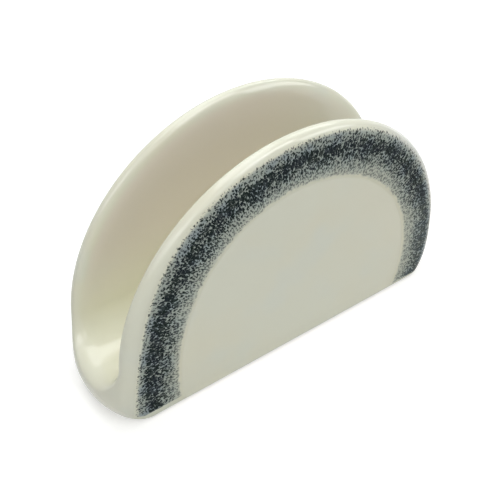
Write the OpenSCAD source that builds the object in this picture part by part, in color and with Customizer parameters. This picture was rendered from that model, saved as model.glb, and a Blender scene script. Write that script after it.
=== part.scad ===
// Round-shouldered ceramic napkin holder.
// One slip-cast stoneware body carries two equal upright leaves on a thick base.
// A round-bottomed slot between the leaves is open at the top and at both ends.
// A cream glaze covers it down to the foot, and a sponged band of colour sits in
// the glaze of each outer face. X runs along the leaves, -Y is the front, +Z is up.
// The origin lies at the middle of the foot, on the table.

/* [Outline] */
// Radius of the leaves' round outline
outline_r = 70; // [60:1:85]
// Height of the outline's centre above the table
outline_rise = 22.1; // [14:0.1:32]
// How far each end bulges past the outline between the leaves
end_bulge = 6.9; // [2:0.1:9]
// Height above the table where the ends bulge most
bulge_height = 3.7; // [1:0.1:8]
// How far each end tucks in again towards the foot
end_tuck = 2.6; // [0:0.1:4]
// Height above the table where the ends start to tuck in
tuck_height = 12.8; // [8:0.2:20]

/* [Leaves and slot] */
// Thickness of each leaf
leaf_t = 5.7; // [5:0.1:9]
// Clear gap between the leaves
slot_gap = 27.2; // [20:0.2:40]
// Height of the slot's round floor above the table
slot_floor = 14; // [9:0.5:18]
// Depth of a leaf's outermost line behind its outer face
crest_depth = 3.2; // [2.5:0.1:4]
// How far the rounding of a leaf's outer face reaches in from its edge
outer_round = 4.4; // [3:0.1:8]
// How far the rounding of a leaf's inner face reaches in from its edge
inner_round = 6.6; // [3:0.1:9]
// Depth of the rounding below the slot's floor at each end
lip_drop = 3.8; // [3:0.1:6]
// How far the rounding of the slot's floor reaches in from each end
lip_round = 8.4; // [4:0.1:12]

/* [Foot] */
// Rounding where the walls meet the foot
foot_round = 2.2; // [1.5:0.1:4]
// Width of the bare ring that the holder stands on
foot_ring_w = 6; // [3:0.5:8]
// Depth of the recess inside the foot ring
recess_depth = 3; // [1.5:0.5:5]
// Corner radius of the recess
recess_r = 5; // [2:0.5:6]

/* [Glaze] */
// Thickness of the glaze
glaze_t = 0.3; // [0.2:0.05:0.5]
// Height above the table where the glaze is wiped off the foot
glaze_line = 0.6; // [0.3:0.1:1.2]

/* [Sponged band] */
// Distance of the band's outer edge inside the outline
band_outer_inset = 4.2; // [3:0.1:8]
// Lift of the outer edge's centre above the outline's centre
band_outer_lift = 1.6; // [0:0.1:2]
// Shift of the outer edge's centre to the right
band_outer_shift = 0.7; // [0:0.1:1.2]
// Distance of the band's inner edge inside the outline
band_inner_inset = 19.6; // [14:0.2:30]
// Lift of the inner edge's centre above the outline's centre
band_inner_lift = 0.6; // [0:0.1:2]
// Shift of the inner edge's centre to the right
band_inner_shift = 1.4; // [0:0.1:2]
// Height above the table where the band's two ends stop
band_foot = 4; // [3:0.5:8]

/* [Hidden] */
// Overrun of a cut past the face that it opens
overrun = 1;
// Depth of the band's cut behind the outer face, which clears the rounded edge
band_cut = 2;
$fn = 96;

slot_r = slot_gap / 2;
inner_depth = leaf_t - crest_depth;
crest_y = slot_r + inner_depth;
half_depth = slot_r + leaf_t;
slot_axis_z = slot_floor + slot_r;
crest_foot_z = slot_floor - lip_drop;

// Counts of facets along the outline and across the rounded edges
arch_steps = 56;
mouth_steps = 8;
wall_steps = 3;
foot_steps = 3;
base_steps = 2;
outer_steps = 5;
inner_steps = 5;
last_column = outer_steps + inner_steps;

// A station is [kind, angle or height, side]. The arch runs over the top, the mouth
// goes round each open end of the slot, and the wall goes down to the table.
ARCH = 0;
MOUTH = 1;
WALL = 2;
arch_end = acos((slot_axis_z - outline_rise) / outline_r);
line_angle = asin(1 - glaze_line / foot_round);

function foot_z(angle) = foot_round * (1 - sin(angle));
glazed_run = concat(
    [for (k = [1:mouth_steps]) [MOUTH, 90 * k / mouth_steps]],
    [for (k = [1:wall_steps]) [WALL, crest_foot_z + (foot_round - crest_foot_z) * k / wall_steps]],
    [for (k = [1:foot_steps]) [WALL, foot_z(line_angle * k / foot_steps)]]
);
bare_run = [
    for (k = [1:base_steps]) [WALL, foot_z(line_angle + (90 - line_angle) * k / base_steps)]
];
function stations(run) = concat(
    [for (k = [len(run) - 1:-1:0]) [run[k][0], run[k][1], -1]],
    [for (k = [0:arch_steps]) [ARCH, arch_end * (2 * k / arch_steps - 1), 1]],
    [for (k = [0:len(run) - 1]) [run[k][0], run[k][1], 1]]
);

// Half width of the outline at a height, set in by a distance
function half_width(z, inset) = sqrt(pow(outline_r - inset, 2) - pow(z - outline_rise, 2));
// Set-in of a wall at a height, which rounds it from the given height down to the table
function rounding(z, height, reach) =
    z < height ? reach * (1 - sqrt(1 - pow(1 - z / height, 2))) : 0;
function foot_inset(z, skin) = rounding(z, foot_round, foot_round - skin);
// Value that changes from the leaves to the slot's floor, round an end's mouth
function blend(leaf, floor, around) =
    leaf * pow(cos(around), 2) + floor * pow(sin(around), 2);
function mouth_drop(around) = blend(inner_depth, lip_drop, around);
function clamped(share) = min(max(share, 0), 1);
// Share that leaves 0 and reaches 1 without a kink
function smooth(share) = pow(share, 2) * (3 - 2 * share);
// Half length at a height, where the ends bulge out below the slot's axis and tuck in again
function bulge(z) = end_bulge * smooth(clamped((slot_axis_z - z) / (slot_axis_z - bulge_height)));
function half_length(z, skin) =
    half_width(z, skin) + bulge(z) - rounding(z, tuck_height, end_tuck);
// Distance of an end's surface from the middle of the holder. The end is flat between the
// leaves' crests at the slot's axis and rounds from its middle at the table.
function end_x(y, z, skin) =
    let (
        set_in = foot_inset(z, skin),
        flat_y = crest_y * smooth(clamped(z / slot_axis_z)),
        share = clamped((y - flat_y) / (half_depth - skin - set_in - flat_y)),
        reach = outer_round - skin + bulge(z)
    )
    half_length(z, skin) - set_in - reach * (1 - sqrt(1 - share * share));

// Point of the front half, for a skin that lies inside the glazed surface by a distance.
// Column 0 is the edge of the outer face, column outer_steps is the crest, and the last
// column is the edge of the inner face.
function arch_point(angle, inset, y) = [
    (outline_r - inset) * sin(angle),
    y,
    outline_rise + (outline_r - inset) * cos(angle)
];
function outer_point(station, skin, column) =
    let (
        turn = 90 * (1 - column / outer_steps),
        kind = station[0],
        around = kind == MOUTH ? station[1] : 90,
        mouth_z = slot_axis_z - (slot_r + mouth_drop(around)) * sin(around),
        z = kind == MOUTH ? mouth_z : station[1],
        first_y = crest_y * cos(around),
        y = first_y + (half_depth - skin - foot_inset(z, skin) - first_y) * sin(turn)
    )
    kind == ARCH
        ? arch_point(
            station[1],
            skin + (outer_round - skin) * (1 - cos(turn)),
            -crest_y - (crest_depth - skin) * sin(turn)
        )
        : [station[2] * end_x(y, z, skin), -y, z];
function inner_point(station, skin, column) =
    let (
        turn = 90 * (column - outer_steps) / inner_steps,
        around = station[0] == ARCH ? 0 : station[1],
        inset = (blend(inner_round, lip_round, around) - skin) * (1 - cos(turn)),
        radius_y = slot_r + skin + (inner_depth - skin) * (1 - sin(turn)),
        radius_z = slot_r + skin + (mouth_drop(around) - skin) * (1 - sin(turn)),
        y = radius_y * cos(around),
        z = slot_axis_z - radius_z * sin(around)
    )
    station[0] == ARCH
        ? arch_point(station[1], skin + inset, -radius_y)
        : [station[2] * (end_x(y, z, skin) - inset), -y, z];
function has_inner(station) = station[0] != WALL;
function point(station, skin, column) =
    column > outer_steps && has_inner(station)
        ? inner_point(station, skin, column)
        : outer_point(station, skin, min(column, outer_steps));

// The front half's points come first, then the rear half's. Both halves share the
// points that lie on the middle plane: the end walls' crest and the slot's lowest line.
function skin_points(list, skin) = [
    for (side = [1, -1]) for (station = list) for (column = [0:last_column])
        let (p = point(station, skin, column)) [p[0], side * p[1], p[2]]
];
function on_middle(station, column) =
    column >= outer_steps && (station[0] == WALL || station[0] == MOUTH && station[1] == 90);
function place(list, k, column, rear) =
    k * (last_column + 1) + column
        + (rear && !on_middle(list[k], column) ? len(list) * (last_column + 1) : 0);

function two_triangles(a, b, c, d) = [[a, b, c], [a, c, d]];
function turned(faces, flip) = [
    for (f = faces) flip ? [for (k = [len(f) - 1:-1:0]) f[k]] : f
];
// Rounded edges, one strip of cells between each two stations
function edge_faces(list, rear) = [
    for (k = [0:len(list) - 2])
        for (c = [0:(has_inner(list[k]) && has_inner(list[k + 1]) ? last_column : outer_steps) - 1])
            each two_triangles(
                place(list, k, c, rear), place(list, k, c + 1, rear),
                place(list, k + 1, c + 1, rear), place(list, k + 1, c, rear)
            )
];
// Flat faces, one cell from the left station to its twin on the right
function flat_faces(list, column, first, rear) = [
    for (k = [first:(len(list) - 1) / 2 - 1])
        let (
            a = place(list, k, column, rear),
            b = place(list, k + 1, column, rear),
            c = place(list, len(list) - 2 - k, column, rear),
            d = place(list, len(list) - 1 - k, column, rear)
        )
        b == c ? [a, b, d] : [a, b, c, d]
];
function half_faces(list, rear) = turned(
    concat(
        edge_faces(list, rear),
        turned(flat_faces(list, 0, 0, rear), true),
        flat_faces(list, last_column, len(list) / 2 - 0.5 - arch_steps / 2 - mouth_steps, rear)
    ),
    rear
);
// Ring of points at the lowest stations, round the foot
function foot_ring(list) = concat(
    [for (c = [0:outer_steps]) place(list, 0, c, false)],
    [for (c = [outer_steps - 1:-1:0]) place(list, 0, c, true)],
    [for (c = [0:outer_steps]) place(list, len(list) - 1, c, true)],
    [for (c = [outer_steps - 1:-1:0]) place(list, len(list) - 1, c, false)]
);
function wall_faces(list) = concat(half_faces(list, false), half_faces(list, true));

clay_stations = stations(concat(glazed_run, bare_run));
glaze_stations = stations(glazed_run);

module fired_form() {
    polyhedron(
        points = skin_points(clay_stations, glaze_t),
        faces = concat(wall_faces(clay_stations), [foot_ring(clay_stations)]),
        convexity = 6
    );
}

// Glaze skin: its outer surface, its inner surface turned inside out, and the ring
// that closes the two at the glaze line
module glaze_skin() {
    outer = skin_points(glaze_stations, 0);
    count = len(outer);
    ring = foot_ring(glaze_stations);
    polyhedron(
        points = concat(outer, skin_points(glaze_stations, glaze_t)),
        faces = concat(
            wall_faces(glaze_stations),
            [for (f = turned(wall_faces(glaze_stations), true)) [for (v = f) v + count]],
            [
                for (k = [0:len(ring) - 1])
                    let (n = (k + 1) % len(ring))
                    each two_triangles(ring[k], ring[n], ring[n] + count, ring[k] + count)
            ]
        ),
        convexity = 8
    );
}

module recess_outline() {
    x = half_width(0, 0) - end_tuck - foot_round - foot_ring_w - recess_r;
    y = half_depth - foot_round - foot_ring_w - recess_r;
    for (side = [-1, 1]) {
        translate([side * x, y]) circle(r = recess_r);
        translate([side * x, -y]) circle(r = recess_r);
    }
    square([2 * x, 2 * (y + recess_r)], center = true);
    square([2 * (x + recess_r), 2 * y], center = true);
}

// Space that the band fills, from in front of the outer face into the glaze
module band_space() {
    translate([0, -half_depth + band_cut, 0])
        rotate([90, 0, 0])
            linear_extrude(height = band_cut + overrun)
                difference() {
                    translate([band_outer_shift, outline_rise + band_outer_lift])
                        circle(r = outline_r - band_outer_inset);
                    translate([band_inner_shift, outline_rise + band_inner_lift])
                        circle(r = outline_r - band_inner_inset);
                    translate([-outline_r, band_foot - 2 * outline_r])
                        square(2 * outline_r);
                }
}
module rear_space() {
    rotate([0, 0, 180]) band_space();
}

module clay_body() {
    color("tan")
        difference() {
            fired_form();
            translate([0, 0, -overrun])
                linear_extrude(height = recess_depth + overrun) recess_outline();
        }
}
module glaze_coat() {
    color("ivory")
        difference() {
            glaze_skin();
            band_space();
            rear_space();
        }
}
module front_band() {
    color("slategray")
        intersection() {
            glaze_skin();
            band_space();
        }
}
module rear_band() {
    color("slategray")
        intersection() {
            glaze_skin();
            rear_space();
        }
}

clay_body();
glaze_coat();
front_band();
rear_band();
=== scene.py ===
import math

import bpy
import numpy as np
from mathutils import Matrix, Vector


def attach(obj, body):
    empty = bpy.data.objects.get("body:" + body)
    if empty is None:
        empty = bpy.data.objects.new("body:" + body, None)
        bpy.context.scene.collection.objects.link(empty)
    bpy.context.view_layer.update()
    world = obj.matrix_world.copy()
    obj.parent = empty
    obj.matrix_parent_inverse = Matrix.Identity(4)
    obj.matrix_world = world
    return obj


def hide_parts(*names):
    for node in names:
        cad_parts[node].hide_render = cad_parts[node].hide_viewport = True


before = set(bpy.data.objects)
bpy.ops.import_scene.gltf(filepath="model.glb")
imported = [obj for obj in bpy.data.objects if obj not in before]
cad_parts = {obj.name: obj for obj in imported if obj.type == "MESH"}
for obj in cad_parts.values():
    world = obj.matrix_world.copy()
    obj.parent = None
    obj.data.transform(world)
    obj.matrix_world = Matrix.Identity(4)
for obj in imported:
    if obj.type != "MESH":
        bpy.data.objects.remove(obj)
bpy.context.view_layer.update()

MM = 0.001

# Driving sizes of the holder, in millimetres
OUTLINE_R = 70.0  # radius of the leaves' round outline
OUTLINE_RISE = 22.1  # height of the outline's centre above the table
END_BULGE = 6.9  # how far the ends bulge past the outline, between the leaves
BULGE_HEIGHT = 3.7  # height below which the bulge is full
END_TUCK = 2.6  # how far they tuck in again towards the table
TUCK_HEIGHT = 12.8  # height below which they tuck in
LEAF_T = 5.7  # thickness of a leaf
SLOT_GAP = 27.2  # width of the slot
SLOT_FLOOR = 14.0  # height of the slot's floor
CREST_DEPTH = 3.2  # distance of a rim's crest behind the outer face
OUTER_ROUND = 4.4  # how far the rim's rounding reaches down the outer face
INNER_ROUND = 6.6  # how far it reaches down the inner face
LIP_DROP = 3.8  # how far the slot's floor rounds down at each end
LIP_ROUND = 8.4  # how far that rounding reaches into the slot
FOOT_ROUND = 2.2  # radius of the foot's rounding
GLAZE_LINE = 0.6  # height at which the glaze ends

SLOT_R = SLOT_GAP / 2
INNER_DEPTH = LEAF_T - CREST_DEPTH
CREST_Y = SLOT_R + INNER_DEPTH
HALF_DEPTH = SLOT_R + LEAF_T
SLOT_AXIS_Z = SLOT_FLOOR + SLOT_R
CREST_FOOT_Z = SLOT_FLOOR - LIP_DROP

# How far the visual skins lie inside the CAD model's glazed surface
GLAZE_SKIN = 0.05
GLAZE_BACK = 0.28
BAND_TOP = 0.02
BAND_EDGE = 0.06
BAND_BACK = 0.12

# Mesh steps of the glaze: over the arch, round a mouth, down an end and round the foot,
# then across a rim's rounding, and across a face from rim to rim
RUN_STEPS = (180, 30, 14, 8)
RIM_STEPS = 18
FACE_STEPS = 28

# Mesh steps of a band along its length and across its width
BAND_LONG_STEPS = 400
BAND_WIDE_STEPS = 48

# The photograph's camera, as an orbit round a point on the holder's middle plane. Its lengths
# are in units of the outline's radius.
CAMERA_AZIMUTH = -36.46
CAMERA_ELEVATION = 40.764
CAMERA_DISTANCE = 4.7782
CAMERA_OFFSET = (0.0607, -0.0275)
CAMERA_TARGET_Z = 0.5
CAMERA_FOCUS_PX = 921.56
CAMERA_CLIP_START = 0.01
PICTURE_PX = 500
SENSOR_MM = 36.0


# The holder's surface

# Kinds of station round the holder: on the arch, round the slot's mouth, on the wall below it
ARCH, MOUTH, WALL = range(3)


def half_width(z, inset):
    return np.sqrt((OUTLINE_R - inset) ** 2 - (z - OUTLINE_RISE) ** 2)


def rounding(z, height, reach):
    """Set-in of a wall that rounds from the given height down to the table."""
    share = np.clip(1 - z / height, 0, 1)
    return reach * (1 - np.sqrt(1 - share ** 2))


def foot_inset(z, skin):
    return rounding(z, FOOT_ROUND, FOOT_ROUND - skin)


def smooth(share):
    share = np.clip(share, 0, 1)
    return share ** 2 * (3 - 2 * share)


def bulge(z):
    return END_BULGE * smooth((SLOT_AXIS_Z - z) / (SLOT_AXIS_Z - BULGE_HEIGHT))


def half_length(z, skin):
    """Half length at a height, where the ends bulge out and tuck in again."""
    return half_width(z, skin) + bulge(z) - rounding(z, TUCK_HEIGHT, END_TUCK)


def end_x(y, z, skin):
    """Distance of an end's surface from the middle of the holder. The end is flat between the
    leaves' crests at the slot's axis and rounds from its middle at the table."""
    set_in = foot_inset(z, skin)
    flat_y = CREST_Y * smooth(z / SLOT_AXIS_Z)
    share = np.clip((y - flat_y) / (HALF_DEPTH - skin - set_in - flat_y), 0, 1)
    reach = OUTER_ROUND - skin + bulge(z)
    return half_length(z, skin) - set_in - reach * (1 - np.sqrt(1 - share ** 2))


def blend(leaf, floor, around):
    """Value that changes from the leaves to the slot's floor, round an end's mouth."""
    return leaf * np.cos(around) ** 2 + floor * np.sin(around) ** 2


def mouth_z(around):
    return SLOT_AXIS_Z - (SLOT_R + blend(INNER_DEPTH, LIP_DROP, around)) * np.sin(around)


def stations(arch_steps, mouth_steps, wall_steps, foot_steps):
    """Stations from the left foot over the arch to the right foot: (kind, angle or height, side)."""
    line_angle = math.asin(1 - GLAZE_LINE / FOOT_ROUND)
    run = [(MOUTH, math.pi / 2 * k / mouth_steps) for k in range(1, mouth_steps + 1)]
    fall = FOOT_ROUND - CREST_FOOT_Z
    run += [(WALL, CREST_FOOT_Z + fall * k / wall_steps) for k in range(1, wall_steps + 1)]
    run += [
        (WALL, FOOT_ROUND * (1 - math.sin(line_angle * k / foot_steps)))
        for k in range(1, foot_steps + 1)
    ]
    end = math.acos((SLOT_AXIS_Z - OUTLINE_RISE) / OUTLINE_R)
    arch = [(ARCH, end * (2 * k / arch_steps - 1), 1) for k in range(arch_steps + 1)]
    left = [(kind, value, -1) for kind, value in reversed(run)]
    return left + arch + [(kind, value, 1) for kind, value in run]


def arch_points(angle, inset, y):
    r = OUTLINE_R - inset
    return np.stack([r * np.sin(angle), y, OUTLINE_RISE + r * np.cos(angle)], 1)


def outer_points(station, skin, turn):
    """Points on the rounding of the outer face's edge, at angles from its crest."""
    kind, value, side = station
    if kind == ARCH:
        inset = skin + (OUTER_ROUND - skin) * (1 - np.cos(turn))
        return arch_points(value, inset, -CREST_Y - (CREST_DEPTH - skin) * np.sin(turn))
    around = value if kind == MOUTH else math.pi / 2
    z = mouth_z(around) if kind == MOUTH else value
    first_y = CREST_Y * math.cos(around)
    y = first_y + (HALF_DEPTH - skin - foot_inset(z, skin) - first_y) * np.sin(turn)
    return np.stack([side * end_x(y, z, skin), -y, np.full_like(y, z)], 1)


def inner_points(station, skin, turn):
    """Points on the rounding of the inner face's edge, at angles from its crest."""
    kind, value, side = station
    around = value if kind == MOUTH else 0
    inset = (blend(INNER_ROUND, LIP_ROUND, around) - skin) * (1 - np.cos(turn))
    radius_y = SLOT_R + skin + (INNER_DEPTH - skin) * (1 - np.sin(turn))
    if kind == ARCH:
        return arch_points(value, skin + inset, -radius_y)
    drop = blend(INNER_DEPTH, LIP_DROP, around)
    radius_z = SLOT_R + skin + (drop - skin) * (1 - np.sin(turn))
    y = radius_y * math.cos(around)
    z = SLOT_AXIS_Z - radius_z * math.sin(around)
    return np.stack([side * (end_x(y, z, skin) - inset), -y, z], 1)


class MeshBuilder:
    """Collects points and faces, and joins points that fall on the same place."""

    # Distance in millimetres within which points are one
    GRAIN = 1e-4

    def __init__(self):
        self.index = {}
        self.points = []
        self.faces = []

    def vertex(self, point):
        key = tuple(int(round(c / self.GRAIN)) for c in point)
        if key not in self.index:
            self.index[key] = len(self.points)
            self.points.append(tuple(float(c) for c in point))
        return self.index[key]

    def face(self, corners):
        """Adds a face without repeated corners, unless fewer than three are left."""
        ids = [self.vertex(p) for p in corners]
        kept = [v for k, v in enumerate(ids) if v != ids[k - 1]]
        if len(set(kept)) == len(kept) > 2:
            self.faces.append(kept)

    def grid(self, rows, flip=False):
        """Faces between the points of a grid, given as rows of points."""
        for upper, lower in zip(rows[:-1], rows[1:]):
            for k in range(len(upper) - 1):
                corners = [upper[k], upper[k + 1], lower[k + 1], lower[k]]
                self.face(corners if flip else corners[::-1])

    def build(self, name, shade_smooth=True):
        mesh = bpy.data.meshes.new(name)
        mesh.from_pydata([tuple(c * MM for c in p) for p in self.points], [], self.faces)
        mesh.validate()
        mesh.update()
        mesh.polygons.foreach_set("use_smooth", [shade_smooth] * len(mesh.polygons))
        piece = bpy.data.objects.new(name, mesh)
        bpy.context.scene.collection.objects.link(piece)
        return piece


def mirrored(points):
    return [np.array([1, -1, 1]) * p for p in points]


def across(left, right, shares):
    """Points on the straight line from left to right, at the given shares of its length."""
    return [left + (right - left) * share for share in shares]


def add_skin(builder, skin, flip):
    """Adds one skin of the holder, the glazed surface set in by a distance.
    Returns the rings of points at the two feet, front half only."""
    run = stations(*RUN_STEPS)
    turns = np.linspace(0, math.pi / 2, RIM_STEPS + 1)
    outer = [outer_points(s, skin, turns[::-1]) for s in run]
    inner = [inner_points(s, skin, turns) if s[0] != WALL else None for s in run]
    inside = [k for k, rows in enumerate(inner) if rows is not None]
    shares = (1 - np.cos(math.pi * np.linspace(0, 1, FACE_STEPS + 1))) / 2
    middle = (len(run) - 1) // 2
    for sign in (1, -1):
        side = np.array([1, sign, 1])
        turned = flip != (sign < 0)
        builder.grid([rows * side for rows in outer], turned)
        builder.grid([inner[k] * side for k in inside], turned)
        face = [across(outer[k][0], outer[-1 - k][0], shares) for k in range(middle + 1)]
        builder.grid([[p * side for p in row] for row in face], not turned)
        deep = [across(inner[k][-1], inner[-1 - k][-1], shares) for k in inside if k <= middle]
        builder.grid([[p * side for p in row] for row in deep], turned)
    return outer[0], outer[-1]


def foot_loop(left, right):
    """Closed loop of points round the foot, from the front halves of its two ends."""
    return list(left) + mirrored(left[-2::-1]) + mirrored(right) + list(right[-2::-1])


def make_glaze():
    """The glaze, as one closed skin that ends at the glaze line above the foot."""
    builder = MeshBuilder()
    front = add_skin(builder, GLAZE_SKIN, False)
    back = add_skin(builder, GLAZE_BACK, True)
    outside, inside = foot_loop(*front), foot_loop(*back)
    builder.grid([outside + outside[:1], inside + inside[:1]])
    return builder.build("cream_glaze")


# The sponged bands, in millimetres

# Each edge is a mean distance inside the outline and how the hand swayed: (count, size, phase)
BAND_OUTER_EDGE = 2.9
BAND_OUTER_WAVES = [(1, 0.8, -45), (2, 3.1, 151), (3, 3.4, -47), (4, 1.8, 114)]
BAND_INNER_EDGE = 16.3
BAND_INNER_WAVES = [(1, 4.9, 109), (2, 2.2, -124), (3, 0.9, 6)]
BAND_SWEEP = math.radians(112)

# Heights at which the colour ends at the right foot, where the film ends too, and at the left
# foot, and how far from the middle the change between them starts and ends
BAND_FOOT = 1.9
BAND_FOOT_LEFT = 4.0
BAND_FOOT_TURN = 40.0

# How far the film goes past the colour's edges, and how wide its rise out of the glaze is
BAND_OUTER_MARGIN = 1.0
BAND_INNER_MARGIN = 1.8
BAND_RISE = 1.0
BAND_SHARP_ANGLE = math.radians(40)

# Factors that take a point of the front band half a turn round, to the rear one
HALF_TURN = np.array([-1, -1, 1])


def face_depth(x, z):
    """Distance of the outer face's surface in front of the middle plane."""
    set_in = foot_inset(z, 0)
    arch_in = OUTLINE_R - np.hypot(x, z - OUTLINE_RISE)
    wall_in = half_length(np.minimum(z, SLOT_AXIS_Z), 0) - set_in - np.abs(x)
    inset = np.where(z > SLOT_AXIS_Z, arch_in, wall_in)
    share = np.clip(1 - inset / (OUTER_ROUND + bulge(z)), 0, 1)
    flat_y = CREST_Y * smooth(z / SLOT_AXIS_Z)
    return flat_y + (HALF_DEPTH - set_in - flat_y) * np.sqrt(1 - share ** 2)


def edge_inset(angle, mean, waves):
    """Distance of a band's edge inside the outline, at an angle from the top."""
    sway = [size * math.sin(count * angle + math.radians(phase)) for count, size, phase in waves]
    return mean + sum(sway)


def band_rows(angle):
    """Points across a band at an angle from the top, on the film's top and on its back."""
    first = edge_inset(angle, BAND_OUTER_EDGE, BAND_OUTER_WAVES) - BAND_OUTER_MARGIN
    last = edge_inset(angle, BAND_INNER_EDGE, BAND_INNER_WAVES) + BAND_INNER_MARGIN
    insets = np.linspace(first, last, BAND_WIDE_STEPS + 1)
    r = OUTLINE_R - insets
    x, z = r * math.sin(angle), OUTLINE_RISE + r * math.cos(angle)
    low = z < BAND_FOOT
    reach = np.where(low, (BAND_FOOT - OUTLINE_RISE) / math.cos(angle) / r, 1)
    x, z = x * reach, np.where(low, BAND_FOOT, z)
    edge = np.minimum(np.minimum(insets - first, last - insets), z - BAND_FOOT)
    skin = BAND_EDGE - (BAND_EDGE - BAND_TOP) * smooth(edge / BAND_RISE)
    depth = face_depth(x, z)
    return np.stack([x, skin - depth, z], 1), np.stack([x, BAND_BACK - depth, z], 1)


def make_band(name, back):
    """A thin film that carries the sponged colour. It rises out of the glaze at its edges."""
    angles = np.linspace(-BAND_SWEEP, BAND_SWEEP, BAND_LONG_STEPS + 1)
    top, under = zip(*[band_rows(angle) for angle in angles])
    if back:
        top, under = ([points * HALF_TURN for points in rows] for rows in (top, under))
    builder = MeshBuilder()
    builder.grid(top, True)
    builder.grid(under)
    for k, flip in ((0, False), (-1, True)):
        builder.grid([[row[k] for row in top], [row[k] for row in under]], flip)
        builder.grid([top[k], under[k]], not flip)
    band = builder.build(name)
    band.data.set_sharp_from_angle(angle=BAND_SHARP_ANGLE)
    return band


# Materials


def srgb(*values):
    """Linear colour from the 0 to 255 values that it shows as."""
    return tuple((v / 255) ** 2.2 for v in values) + (1.0,)


class Nodes:
    """Short calls that add linked shader nodes to a material or a world."""

    # Places of a Mix node's colour sockets
    MIX_SHARE, MIX_A, MIX_B, MIX_RESULT = 0, 6, 7, 2

    def __init__(self, owner):
        owner.use_nodes = True
        self.tree = owner.node_tree
        self.tree.nodes.clear()

    def put(self, socket, value):
        if isinstance(value, bpy.types.NodeSocket):
            self.tree.links.new(value, socket)
        else:
            socket.default_value = value

    def add(self, kind, inputs=None, **settings):
        node = self.tree.nodes.new(kind)
        for name, value in settings.items():
            setattr(node, name, value)
        for name, value in (inputs or {}).items():
            self.put(node.inputs[name], value)
        return node

    def output(self, shader, kind="ShaderNodeOutputMaterial"):
        self.add(kind, {0: shader})

    def math(self, operation, *values):
        node = self.add("ShaderNodeMath", dict(enumerate(values)), operation=operation)
        return node.outputs[0]

    def plus(self, first, *others):
        for other in others:
            first = self.math("ADD", first, other)
        return first

    def minus(self, a, b):
        return self.math("SUBTRACT", a, b)

    def times(self, first, *others):
        for other in others:
            first = self.math("MULTIPLY", first, other)
        return first

    def centred(self, value, span):
        """A value between 0 and 1, as one that spans the given range round 0."""
        return self.math("MULTIPLY_ADD", value, span, -span / 2)

    def ramp(self, value, low, high, to_low=0.0, to_high=1.0):
        """Smooth step from to_low to to_high, while a value goes from low to high."""
        ends = {"From Min": low, "From Max": high, "To Min": to_low, "To Max": to_high}
        inputs = {"Value": value, **ends}
        return self.add("ShaderNodeMapRange", inputs, interpolation_type="SMOOTHSTEP").outputs[0]

    def fall(self, value, low, high, to_high=0.0):
        """Smooth step down from 1, while a value goes from low to high."""
        return self.ramp(value, low, high, 1.0, to_high)

    def curve(self, value, points):
        """Smooth curve through points, each a value between 0 and 1 and its result. The first
        two are its ends."""
        node = self.add("ShaderNodeFloatCurve", {"Value": value})
        line = node.mapping.curves[0]
        for end, point in zip(line.points, points[:2]):
            end.location = point
        for point in points[2:]:
            line.points.new(*point)
        node.mapping.update()
        return node.outputs[0]

    def noise(self, place, size_mm, seed, detail=2.0, roughness=0.5):
        """Noise between 0 and 1 with grains of about the given size."""
        look = {"Scale": 1 / (size_mm * MM), "Detail": detail, "Roughness": roughness}
        inputs = {"Vector": place, "W": seed, **look}
        return self.add("ShaderNodeTexNoise", inputs, noise_dimensions="4D").outputs[0]

    def patches(self, place, size_mm, seed, start, full, **look):
        """Soft patches of noise, which start and are full where it reaches the given values."""
        return self.ramp(self.noise(place, size_mm, seed, **look), start, full)

    def swirls(self, place, fineness):
        """Outputs of plain noise on a place in millimetres: first a value, then a colour."""
        inputs = {"Vector": place, "Scale": fineness, "Detail": 1.0}
        return self.add("ShaderNodeTexNoise", inputs).outputs

    def mix(self, share, a, b):
        """Colour that is a where the share is 0 and b where it is 1."""
        inputs = {self.MIX_SHARE: share, self.MIX_A: a, self.MIX_B: b}
        return self.add("ShaderNodeMix", inputs, data_type="RGBA").outputs[self.MIX_RESULT]

    def bump(self, relief, height_mm, strength=1.0, under=None):
        """Normal that shows a relief of the given height, on top of another normal."""
        inputs = {"Height": relief, "Distance": height_mm * MM, "Strength": strength}
        if under is not None:
            inputs["Normal"] = under
        return self.add("ShaderNodeBump", inputs).outputs[0]

    def axes(self, place):
        """The three coordinates of a place, in millimetres."""
        scale = {0: place, "Scale": 1 / MM}
        place_mm = self.add("ShaderNodeVectorMath", scale, operation="SCALE").outputs[0]
        return self.add("ShaderNodeSeparateXYZ", {0: place_mm}).outputs

    def polar(self, x, z):
        """Distance inside the outline, and angle from the top in radians, of a face's point."""
        rise = self.minus(z, OUTLINE_RISE)
        squares = self.plus(self.times(x, x), self.times(rise, rise))
        inset = self.minus(OUTLINE_R, self.math("SQRT", squares))
        return inset, self.math("ARCTAN2", x, rise)

    def waves(self, angle, mean, waves):
        """A mean value with waves round the outline: (count, size, phase in degrees)."""
        total = mean
        for count, size, phase in waves:
            turn = self.math("MULTIPLY_ADD", angle, count, math.radians(phase))
            total = self.math("MULTIPLY_ADD", self.math("SINE", turn), size, total)
        return total

    def backdrop_rays(self):
        """1 for the rays that show the backdrop: to the camera, in gloss and through glass."""
        path = self.add("ShaderNodeLightPath").outputs
        seen = self.math("MAXIMUM", path["Is Camera Ray"], path["Is Glossy Ray"])
        return self.math("MAXIMUM", seen, path["Is Transmission Ray"])


def start_material(name):
    """A new material, its nodes, and the place on the object that its patterns follow."""
    material = bpy.data.materials.new(name)
    n = Nodes(material)
    return material, n, n.add("ShaderNodeTexCoord").outputs["Object"]


# Values between which noise mostly lies
NOISE_RANGE = (0.3, 0.7)


# The cream glaze

# Linear colours: plain, in warm and in cool patches, in the slot, and a greyer painted reflection on
# the right rim
CREAM = (0.85, 0.86, 0.71, 1.0)
CREAM_WARM = (0.86, 0.85, 0.68, 1.0)
CREAM_COOL = (0.83, 0.855, 0.73, 1.0)
CREAM_PINK = (0.87, 0.815, 0.70, 1.0)
# Greyer cream on the right rim: a painted reflection
CREAM_PAINTED_REFLECTION = (0.825, 0.845, 0.78, 1.0)

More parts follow.
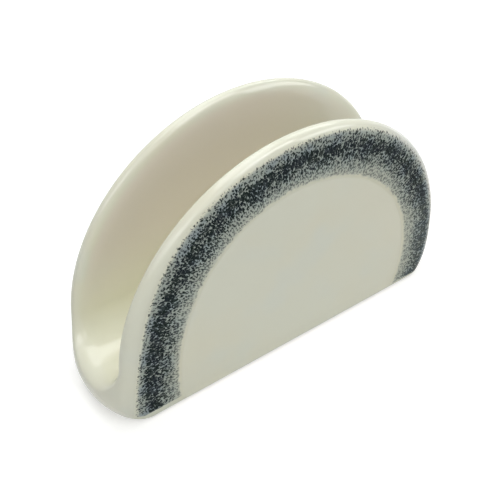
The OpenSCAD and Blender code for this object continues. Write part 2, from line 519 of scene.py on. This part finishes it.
# The slot's walls are pinker: how far off a wall the pink ends, the heights between which it
# sets in, and its share at the right end
PINK_FADE = 0.8
PINK_HEIGHTS = (1.5 * SLOT_FLOOR, 4 * SLOT_FLOOR)
PINK_AT_RIGHT = 0.3

# The front leaf's rim is greyer on the right, a painted reflection: the angles from the top, in
# radians, between which the painted reflection sets in and ends again, and the distances inside the
# outline at which it fades
REFLECTION_START = (0.3, 0.9)
REFLECTION_END = (1.1, 1.6)
REFLECTION_FADE = (2.0, 4.5)

# Relief of the casting and of the glaze, in millimetres
CASTING_WAVES = 0.16
ORANGE_PEEL = 0.01
PEEL_STRENGTH = 0.25

GLAZE_ROUGHNESS = (0.07, 0.12)
GLAZE_IOR = 1.5
GLAZE_GLOSS = 0.5
BAND_GLOSS = 0.07


def pink_share(n, x, y, z):
    wall = n.fall(n.math("ABSOLUTE", y), SLOT_R, SLOT_R + PINK_FADE)
    return n.times(wall, n.ramp(z, *PINK_HEIGHTS), n.fall(x, 0.0, OUTLINE_R, PINK_AT_RIGHT))


# Share of the painted reflection: greyer cream on the right of the front rim
def painted_reflection_share(n, x, y, z):
    inset, angle = n.polar(x, z)
    right = n.times(n.ramp(angle, *REFLECTION_START), n.fall(angle, *REFLECTION_END))
    front = n.fall(y, -CREST_Y, -SLOT_R)
    return n.times(n.fall(inset, *REFLECTION_FADE), right, front)


def cream_colour(n, place):
    """Cream of the glaze, warmer and cooler in patches, pinker in the slot, and greyer on the
    right rim, where a reflection is painted."""
    warm = n.patches(place, size_mm=38, seed=1, start=0.40, full=0.66)
    cool = n.patches(place, size_mm=24, seed=5, start=0.50, full=0.72)
    colour = n.mix(cool, n.mix(warm, CREAM, CREAM_WARM), CREAM_COOL)
    x, y, z = n.axes(place)
    colour = n.mix(pink_share(n, x, y, z), colour, CREAM_PINK)
    # Painted reflection: the cream turns greyer on the right rim
    return n.mix(painted_reflection_share(n, x, y, z), colour, CREAM_PAINTED_REFLECTION)


def glaze_bump(n, place):
    """Fine orange peel of the glaze over slow waves in the casting."""
    slow = n.noise(place, size_mm=17, seed=2, detail=1.0, roughness=0.4)
    peel = n.noise(place, size_mm=2.4, seed=3, detail=1.0, roughness=0.4)
    return n.bump(peel, ORANGE_PEEL, strength=PEEL_STRENGTH, under=n.bump(slow, CASTING_WAVES))


def glaze_shader(n, place, colour, gloss):
    smears = n.noise(place, size_mm=6, seed=4, detail=1.0)
    shader = n.add("ShaderNodeBsdfPrincipled", {
        "Base Color": colour,
        "Roughness": n.ramp(smears, *NOISE_RANGE, *GLAZE_ROUGHNESS),
        "IOR": GLAZE_IOR,
        "Specular IOR Level": gloss,
        "Normal": glaze_bump(n, place),
    })
    return shader.outputs[0]


def glaze_material():
    material, n, place = start_material("cream_glaze")
    n.output(glaze_shader(n, place, cream_colour(n, place), GLAZE_GLOSS))
    return material


# The sponged colour

BLUE_BLACK = srgb(0, 28, 37)
GREEN_BLACK = srgb(0, 33, 29)
SOFT_DARK = srgb(40, 56, 58)
WASH_BLUE = srgb(154, 168, 172)
WASH_GREY = srgb(166, 180, 176)
BARE_WASH = srgb(172, 182, 174)

# Across the band, from its outer edge at 0 to its inner edge at 1: how far the dots
# spread, how strong they are, and how much wash lies under them
DOT_SPREAD = [(0.0, 0.25), (1.0, 0.36), (0.08, 0.33), (0.20, 0.48), (0.32, 0.79), (0.44, 0.79),
              (0.56, 0.64), (0.70, 0.52), (0.85, 0.42)]
DOT_STRENGTH = [(0.0, 0.9), (1.0, 0.60), (0.25, 1.0), (0.60, 1.0), (0.80, 0.92), (0.9, 0.75)]
WASH_STRENGTH = [(0.0, 0.30), (1.0, 0.40), (0.10, 0.90), (0.30, 1.0), (0.65, 0.95), (0.85, 0.72)]

# Shares of the band's width between which the dots and the wash set in and end, and between
# which the colours change
DOT_START, DOT_END = (-0.045, 0.0), (0.99, 1.03)
WASH_START, WASH_END = (-0.04, 0.07), (0.99, 1.06)
DARK_SOFTENS = (0.72, 0.95)
WASH_GREYS = (0.4, 0.85)

# Inside the band the pattern sways, by shares of the width: where the sway sets in and ends,
# and its span. To the right the pattern leans outwards, which sets in between two angles.
SWAY_START, SWAY_END = (0.0, 0.3), (0.7, 1.0)
SWAY = 0.35
LEAN_ANGLES = (-0.1, 0.7)
LEAN = 0.1

# Share of the width by which the edges are ragged, and heights between which the feet fade
RAGGED = 0.2
FOOT_FADE = (-0.3, 0.3)

# The band's radius at the middle of its width, and the pitch of its dots, which are wider
# than high, pushed about and unlike in size
BAND_MID_R = 60.0
DOT_PITCH = 0.85
DOT_SQUASH = 0.72
DOT_PUSH = (0.6, 0.6, 0.0)
DOT_VARIETY = 0.26

# What curls and blotches add to the dots' level, and what the light strokes change it by,
# on a stroke and between strokes
CURL_STRENGTH = 1.4
BLOTCH_STRENGTH = 0.5
STROKE_WIDTH = 0.05
STROKE_CUT = -0.38
STROKE_LIFT = 0.06

# Noise of the blotches between which the wash turns from pale to full
PALE_BLOTCH = (0.42, 0.62)

# Levels between which a dot's colour sets in, the strength of the weakest dots and the share
# of the dots that are weak, and the strength at the feet, which sets in between two angles
DOT_LEVELS = (-0.05, 0.07)
WEAK_DOT = 0.88
WEAK_SHARE = 0.5
FEET_ANGLES = (1.0, 1.6)
FEET_STRENGTH = 0.82


def band_place(n, x, z):
    """Inset and angle of a point on a face, and its share of the way across the band."""
    inset, angle = n.polar(x, z)
    outer = n.minus(inset, n.waves(angle, BAND_OUTER_EDGE, BAND_OUTER_WAVES))
    inner = n.minus(inset, n.waves(angle, BAND_INNER_EDGE, BAND_INNER_WAVES))
    return inset, angle, n.math("DIVIDE", outer, n.minus(outer, inner))


def sponge_level(n, arc, inset, seed):
    """Sponge marks: irregular dots with curls and strokes. Returns how high the colour stands
    at a place, and a chance value of its dot."""
    drawn = {0: arc, 1: n.times(inset, DOT_SQUASH), 2: seed}
    flat = n.add("ShaderNodeCombineXYZ", drawn).outputs[0]
    push = {0: n.swirls(flat, fineness=1.3)[1], 1: DOT_PUSH, 2: flat}
    pushed = n.add("ShaderNodeVectorMath", push, operation="MULTIPLY_ADD").outputs[0]
    dots = {"Vector": pushed, "Scale": 1 / DOT_PITCH}
    cell = n.add("ShaderNodeTexVoronoi", dots, voronoi_dimensions="2D").outputs
    chance = n.add("ShaderNodeSeparateColor", {0: cell["Color"]}).outputs
    dot = n.minus(n.centred(chance[0], DOT_VARIETY), cell["Distance"])
    curls = n.centred(n.swirls(flat, fineness=1.6)[0], CURL_STRENGTH)
    ridge = n.math("ABSOLUTE", n.centred(n.swirls(pushed, fineness=0.9)[0], 1.0))
    strokes = n.ramp(ridge, 0.0, STROKE_WIDTH, STROKE_CUT, STROKE_LIFT)
    return n.plus(dot, curls, strokes), chance[1]


def dark_colour(n, place, share):
    """Colour of the dots: blue-black and green-black in patches, softer at the inner edge."""
    green = n.patches(place, size_mm=4.0, seed=15, start=0.35, full=0.65, detail=1.0)
    return n.mix(n.ramp(share, *DARK_SOFTENS), n.mix(green, BLUE_BLACK, GREEN_BLACK), SOFT_DARK)


def wash_colour(n, share, blotch):
    """Colour of the wash: bluer at the outer edge, greyer at the inner one, paler in blotches."""
    wash = n.mix(n.ramp(share, *WASH_GREYS), WASH_BLUE, WASH_GREY)
    return n.mix(n.fall(blotch, *PALE_BLOTCH), wash, BARE_WASH)


def band_material(name, facing):
    """Sponged colour over the cream. facing is 1 for the front face and -1 for the rear."""
    material, n, place = start_material(name)
    x, _, z = n.axes(place)
    x = n.times(x, facing)
    inset, angle, width_share = band_place(n, x, z)

    # Share of the way across the swaying pattern, the same across the ragged edges, and 1
    # above the feet
    inside = n.times(n.ramp(width_share, *SWAY_START), n.fall(width_share, *SWAY_END))
    sway = n.centred(n.noise(place, size_mm=16, seed=11), SWAY)
    sway = n.plus(sway, n.ramp(angle, *LEAN_ANGLES, 0.0, LEAN))
    share = n.plus(width_share, n.times(sway, inside))
    ragged = n.centred(n.noise(place, size_mm=2.0, seed=13, roughness=0.6), 1.0)
    edge_share = n.plus(width_share, n.times(ragged, RAGGED))
    foot_z = n.ramp(x, -BAND_FOOT_TURN, BAND_FOOT_TURN, BAND_FOOT_LEFT, BAND_FOOT)
    foot = n.ramp(n.plus(n.minus(z, foot_z), ragged), *FOOT_FADE)

    blotch = n.noise(place, size_mm=6.5, seed=12)
    spread = n.times(n.centred(blotch, BLOTCH_STRENGTH), inside)
    level, chance = sponge_level(n, n.times(angle, BAND_MID_R), inset, seed=10.0 * facing)
    level = n.plus(level, n.curve(share, DOT_SPREAD), spread)
    weak = n.ramp(chance, 0.0, WEAK_SHARE, WEAK_DOT, 1.0)
    feet = n.fall(angle, *FEET_ANGLES, FEET_STRENGTH)
    strength = n.times(n.curve(share, DOT_STRENGTH), weak, feet)
    dot_reach = n.times(n.ramp(width_share, *DOT_START), n.fall(edge_share, *DOT_END), foot)
    dots = n.times(n.ramp(level, *DOT_LEVELS), strength, dot_reach)

    wash_reach = n.times(n.ramp(width_share, *WASH_START), n.fall(edge_share, *WASH_END), foot)
    wash_share = n.times(n.curve(share, WASH_STRENGTH), wash_reach)
    colour = n.mix(wash_share, cream_colour(n, place), wash_colour(n, share, blotch))
    colour = n.mix(dots, colour, dark_colour(n, place, share))
    n.output(glaze_shader(n, place, colour, BAND_GLOSS))
    return material


# The bare clay

CLAY_LIGHT = srgb(214, 200, 176)
CLAY_DARK = srgb(196, 180, 152)
CLAY_GRIT = srgb(150, 128, 100)
GRIT_STRENGTH = 0.5
CLAY_RELIEF = 0.06
CLAY_ROUGHNESS = (0.78, 0.9)


def clay_material():
    """Bare fired clay: fine grit, faint stains and a dry, matt surface."""
    material, n, place = start_material("fired_clay")
    stains = n.noise(place, size_mm=9, seed=21, detail=3.0, roughness=0.6)
    grit = n.patches(place, size_mm=0.5, seed=22, start=0.62, full=0.7, roughness=0.6)
    grain = n.noise(place, size_mm=0.35, seed=23, detail=3.0, roughness=0.6)
    dust = n.noise(place, size_mm=2.0, seed=24)
    tone = n.mix(stains, CLAY_LIGHT, CLAY_DARK)
    shader = n.add("ShaderNodeBsdfPrincipled", {
        "Base Color": n.mix(n.times(grit, GRIT_STRENGTH), tone, CLAY_GRIT),
        "Roughness": n.ramp(dust, *NOISE_RANGE, *CLAY_ROUGHNESS),
        "Normal": n.bump(grain, CLAY_RELIEF, strength=0.6),
    })
    n.output(shader.outputs[0])
    return material


# Stage, lights and camera, in metres

WHITE = (1.0, 1.0, 1.0, 1.0)
FLOOR_COLOUR = (0.72, 0.72, 0.71, 1.0)
FLOOR_HALF_MM = 1500.0
FLOOR_DROP = 0.0002

# Where the floor is seen it also glows: this much up to the near distance, so that it shows
# white and keeps the shadow, and fully past the far one
FLOOR_GLOW = 0.5
FLOOR_GLOW_NEAR = 0.2
FLOOR_GLOW_FAR = 0.7

# Strength of the room's own diffuse light
ROOM_LIGHT = 0.02

# Softboxes: name, direction from the holder, width and height, radiance, shows in gloss only
LAMPS = [
    ("overhead", (-0.01, -0.11, 1), (0.66, 1.2), 3.0, False),
    ("behind", (0.12, 0.68, 0.75), (0.5, 0.4), 2.2, False),
    ("high_right", (0.64, 0, 0.77), (0.35, 0.5), 3.6, False),
    ("left", (-0.9, -0.35, 0.5), (0.5, 0.4), 1.6, False),
    ("high_front_left", (-0.45, -0.6, 0.66), (0.4, 0.4), 1.2, False),
    ("front", (0, -1, 0.45), (0.5, 0.3), 1.9, False),
    ("rim_shine", (0.72, -0.65, 0.24), (0.5, 0.4), 4.0, True),
    ("left_shine", (-0.56, -0.71, 0.43), (0.5, 0.32), 3.0, True),
    ("front_shine", (0.24, -0.73, 0.64), (0.55, 0.28), 6.0, True),
]
LAMP_DISTANCE = 1.0
LAMP_AIM_Z = 0.03


def make_floor():
    """A pale floor that keeps the holder's shadow and shows white farther off."""
    half = FLOOR_HALF_MM
    builder = MeshBuilder()
    builder.face([(-half, -half, 0), (half, -half, 0), (half, half, 0), (-half, half, 0)])
    floor = builder.build("floor", shade_smooth=False)
    material, n, place = start_material("floor")
    plain = n.add("ShaderNodeBsdfDiffuse", {"Color": FLOOR_COLOUR})
    away = n.add("ShaderNodeVectorMath", {0: place}, operation="LENGTH").outputs["Value"]
    level = n.ramp(away, FLOOR_GLOW_NEAR, FLOOR_GLOW_FAR, FLOOR_GLOW, 1.0)
    glow = n.add("ShaderNodeEmission", {"Strength": n.times(n.backdrop_rays(), level)})
    both = n.add("ShaderNodeAddShader", {0: plain.outputs[0], 1: glow.outputs[0]})
    n.output(both.outputs[0])
    floor.data.materials.append(material)
    floor.location.z = -FLOOR_DROP


def make_world():
    """A dim room for diffuse light, and a white one where it is seen, also in the glaze."""
    world = bpy.data.worlds.new("studio")
    bpy.context.scene.world = world
    n = Nodes(world)
    room, white = (
        n.add("ShaderNodeBackground", {"Color": WHITE, "Strength": strength}).outputs[0]
        for strength in (ROOM_LIGHT, 1.0)
    )
    pick = n.add("ShaderNodeMixShader", {0: n.backdrop_rays(), 1: room, 2: white})
    n.output(pick.outputs[0], "ShaderNodeOutputWorld")


def make_lamp(name, toward, size, radiance, gloss_only):
    """A softbox that faces the holder."""
    aim = -Vector(toward).normalized()
    lamp = bpy.data.lights.new(name, "AREA")
    lamp.shape = "RECTANGLE"
    lamp.size, lamp.size_y = size
    lamp.energy = radiance * math.pi * size[0] * size[1]
    holder = bpy.data.objects.new(name, lamp)
    holder.location = Vector((0.0, 0.0, LAMP_AIM_Z)) - aim * LAMP_DISTANCE
    holder.rotation_euler = aim.to_track_quat("-Z", "Y").to_euler()
    holder.visible_diffuse = not gloss_only
    bpy.context.scene.collection.objects.link(holder)


def make_camera():
    azimuth, elevation = math.radians(CAMERA_AZIMUTH), math.radians(CAMERA_ELEVATION)
    right = Vector((math.cos(azimuth), math.sin(azimuth), 0))
    ahead = Vector((
        -math.sin(azimuth) * math.cos(elevation),
        math.cos(azimuth) * math.cos(elevation),
        -math.sin(elevation),
    ))
    up = right.cross(ahead)
    unit = OUTLINE_R * MM
    target = Vector((0, 0, CAMERA_TARGET_Z))
    place = target - right * CAMERA_OFFSET[0] + up * CAMERA_OFFSET[1] - ahead * CAMERA_DISTANCE
    lens = bpy.data.cameras.new("camera")
    lens.sensor_width = SENSOR_MM
    lens.lens = CAMERA_FOCUS_PX * SENSOR_MM / PICTURE_PX
    lens.clip_start = CAMERA_CLIP_START
    camera = bpy.data.objects.new("camera", lens)
    turn = Matrix((right, up, -ahead)).transposed()
    camera.matrix_world = Matrix.Translation(place * unit) @ turn.to_4x4()
    bpy.context.scene.collection.objects.link(camera)
    bpy.context.scene.camera = camera


def dress():
    """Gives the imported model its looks: a finer glaze and bands, and a material on the clay."""
    glaze = make_glaze()
    glaze.data.materials.append(glaze_material())
    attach(glaze, "root")
    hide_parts("glaze_coat")
    for name, back in (("front_band", False), ("rear_band", True)):
        band = make_band("sponged_" + name, back)
        band.data.materials.append(band_material("sponged_" + name, -1 if back else 1))
        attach(band, "root")
        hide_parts(name)
    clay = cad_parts["clay_body"]
    clay.data.materials.clear()
    clay.data.materials.append(clay_material())


bpy.context.scene.view_settings.view_transform = "Standard"
dress()
make_floor()
make_world()
for settings in LAMPS:
    make_lamp(*settings)
make_camera()
